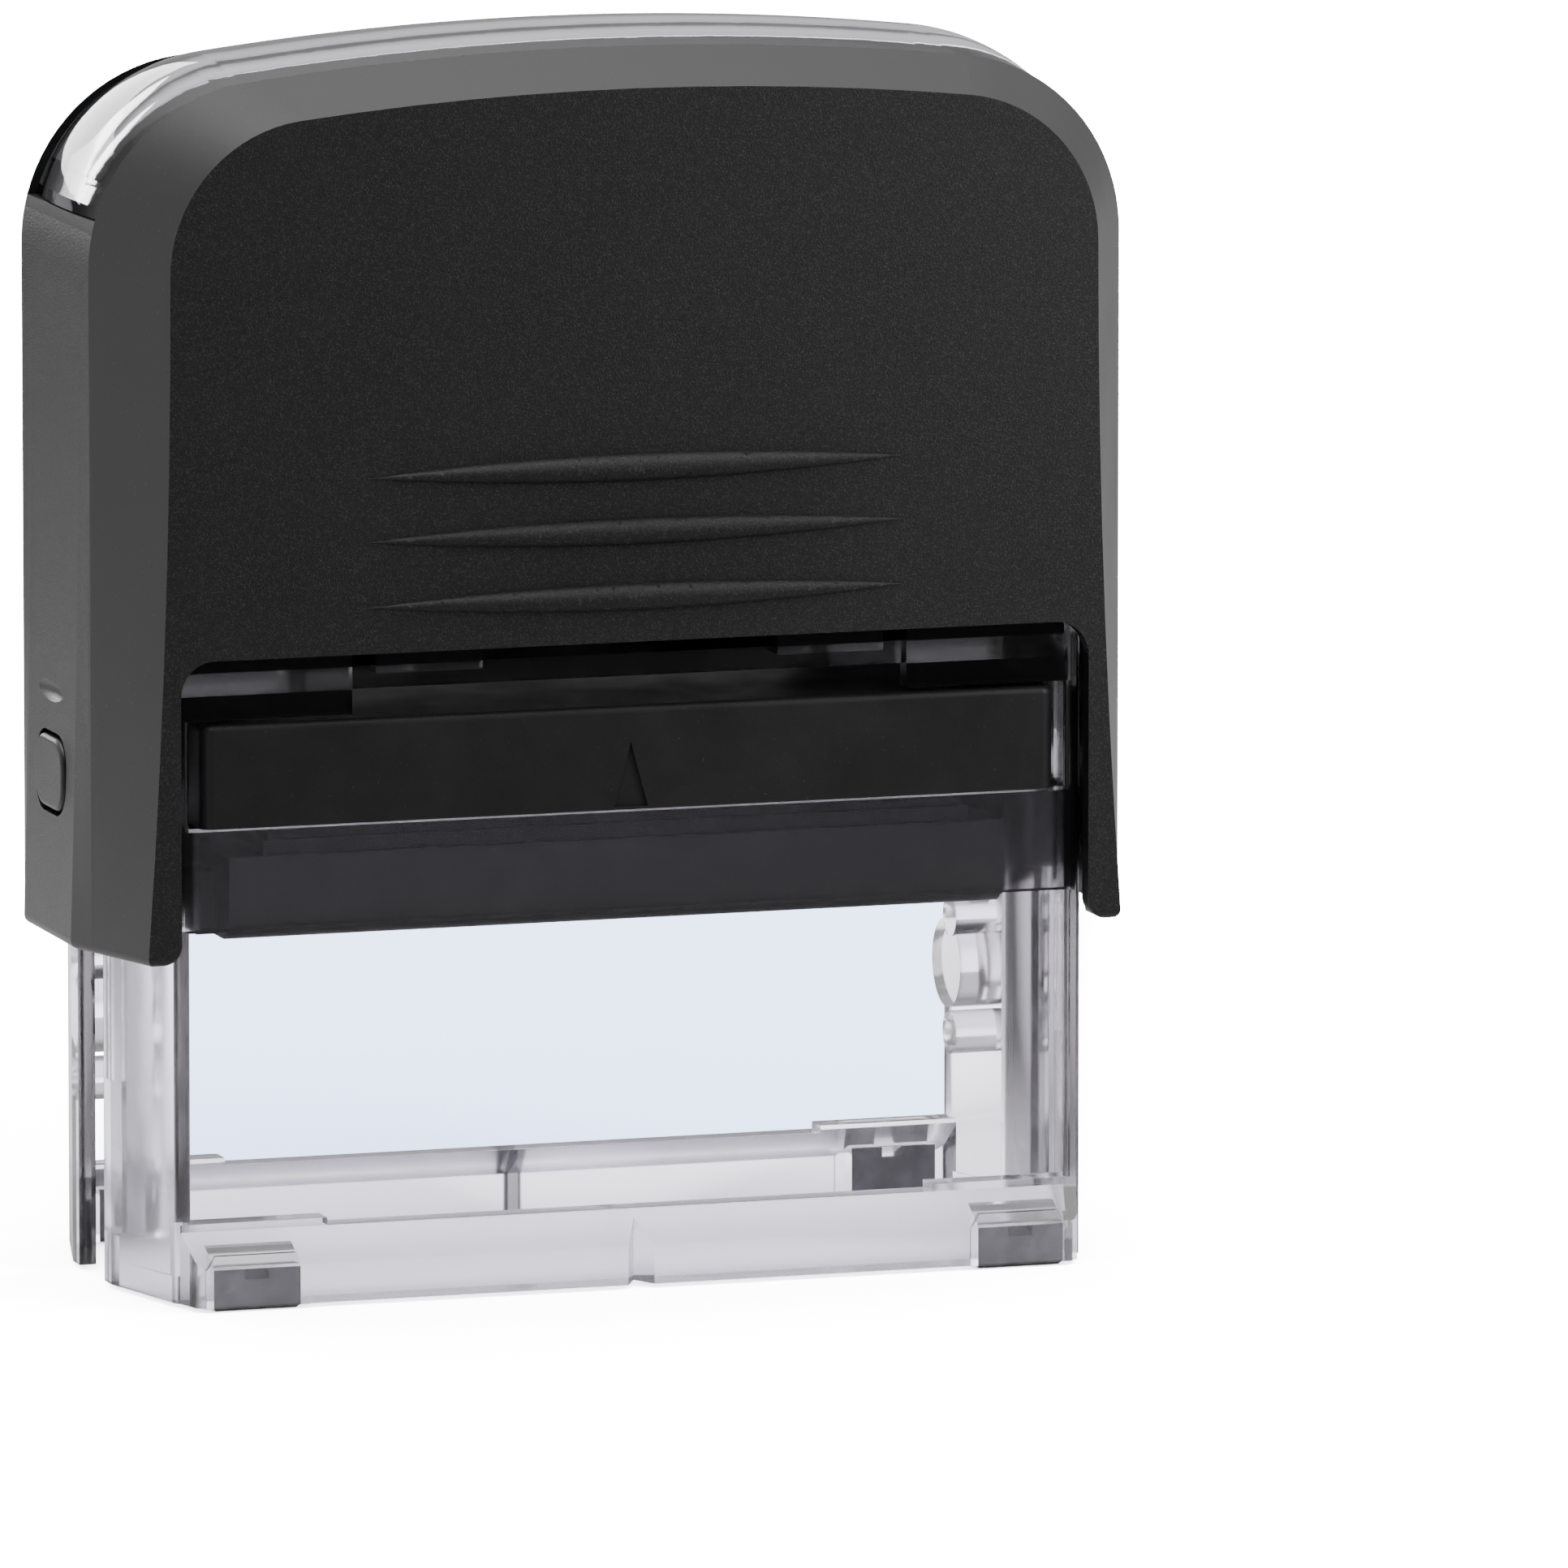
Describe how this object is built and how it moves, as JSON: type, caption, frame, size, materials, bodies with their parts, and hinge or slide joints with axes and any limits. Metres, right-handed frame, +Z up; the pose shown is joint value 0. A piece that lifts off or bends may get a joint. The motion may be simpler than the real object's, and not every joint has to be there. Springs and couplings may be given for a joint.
{
  "type": "self inking stamp",
  "caption": "Self-inking stamp: a black casing slides down a clear base and turns a rubber die from the ink pad to the paper.",
  "frame": {"origin": "centre of the base's footprint, on the surface that the stamp stands on", "axes": "+Z up, -Y towards the front with the pad's arrow, +X to the right seen from the front"},
  "size_m": [0.0722, 0.0308, 0.0823],
  "materials": {
    "clear_frame": "clear moulded acrylic, very faint lilac tint",
    "rubber_feet": "matt black rubber",
    "spring_steel": "bright spring wire",
    "tray_plastic": "satin black moulding",
    "pad_felt": "felt soaked in violet ink",
    "pad_cloth": "fine woven cloth, violet ink",
    "casing_plastic": "fine spark-textured black plastic",
    "card": "plain silver-grey card",
    "clear_cover": "polished clear plastic",
    "button_plastic": "fine-textured black plastic",
    "holder_plastic": "satin black moulding",
    "plate_plastic": "satin black plastic plate",
    "cushion_foam": "thin adhesive foam sheet",
    "die_rubber": "laser-cut rubber stained with violet ink"
  },
  "bodies": {
    "base": {"base_frame": "clear_frame", "foot_front_left": "rubber_feet", "foot_front_right": "rubber_feet", "foot_rear_left": "rubber_feet", "foot_rear_right": "rubber_feet", "return_spring_left": "spring_steel", "return_spring_right": "spring_steel"},
    "pad_cartridge": {"ink_pad_tray": "tray_plastic", "ink_pad": "pad_felt", "ink_pad_cloth": "pad_cloth"},
    "casing": {"outer_casing": "casing_plastic", "index_card": "card"},
    "window": {"index_window": "clear_cover"},
    "button_left": {"lock_button_left": "button_plastic"},
    "button_right": {"lock_button_right": "button_plastic"},
    "die": {"die_holder": "holder_plastic", "text_plate": "plate_plastic", "die_cushion": "cushion_foam", "rubber_die": "die_rubber"}
  },
  "joints": [
    {"name": "press", "type": "slide", "parent": "base", "child": "casing", "axis": [0, 0, -1], "range_m": [0, 0.022], "stiffness_N_per_m": 400, "springref_m": -0.012, "deforming": ["return_spring_left", "return_spring_right"]},
    {"name": "die_flip", "type": "hinge", "parent": "casing", "child": "die", "pos_m": [0, 0, 0.0273], "axis": [1, 0, 0], "range_deg": [0, 180]},
    {"name": "lock_button_left", "type": "slide", "parent": "casing", "child": "button_left", "axis": [1, 0, 0], "range_m": [0, 0.0012], "stiffness_N_per_m": 300, "springref_m": -0.002},
    {"name": "lock_button_right", "type": "slide", "parent": "casing", "child": "button_right", "axis": [-1, 0, 0], "range_m": [0, 0.0012], "stiffness_N_per_m": 300, "springref_m": -0.002},
    {"name": "pad_slide", "type": "slide", "parent": "base", "child": "pad_cartridge", "axis": [0, 1, 0], "range_m": [-0.03, 0]},
    {"name": "window_lift", "type": "slide", "parent": "casing", "child": "window", "axis": [0, 0, 1], "range_m": [0, 0.015]}
  ],
  "couplings": [
    {"joint": "die_flip", "follows": "press", "rad_per_m": 142.79}
  ]
}
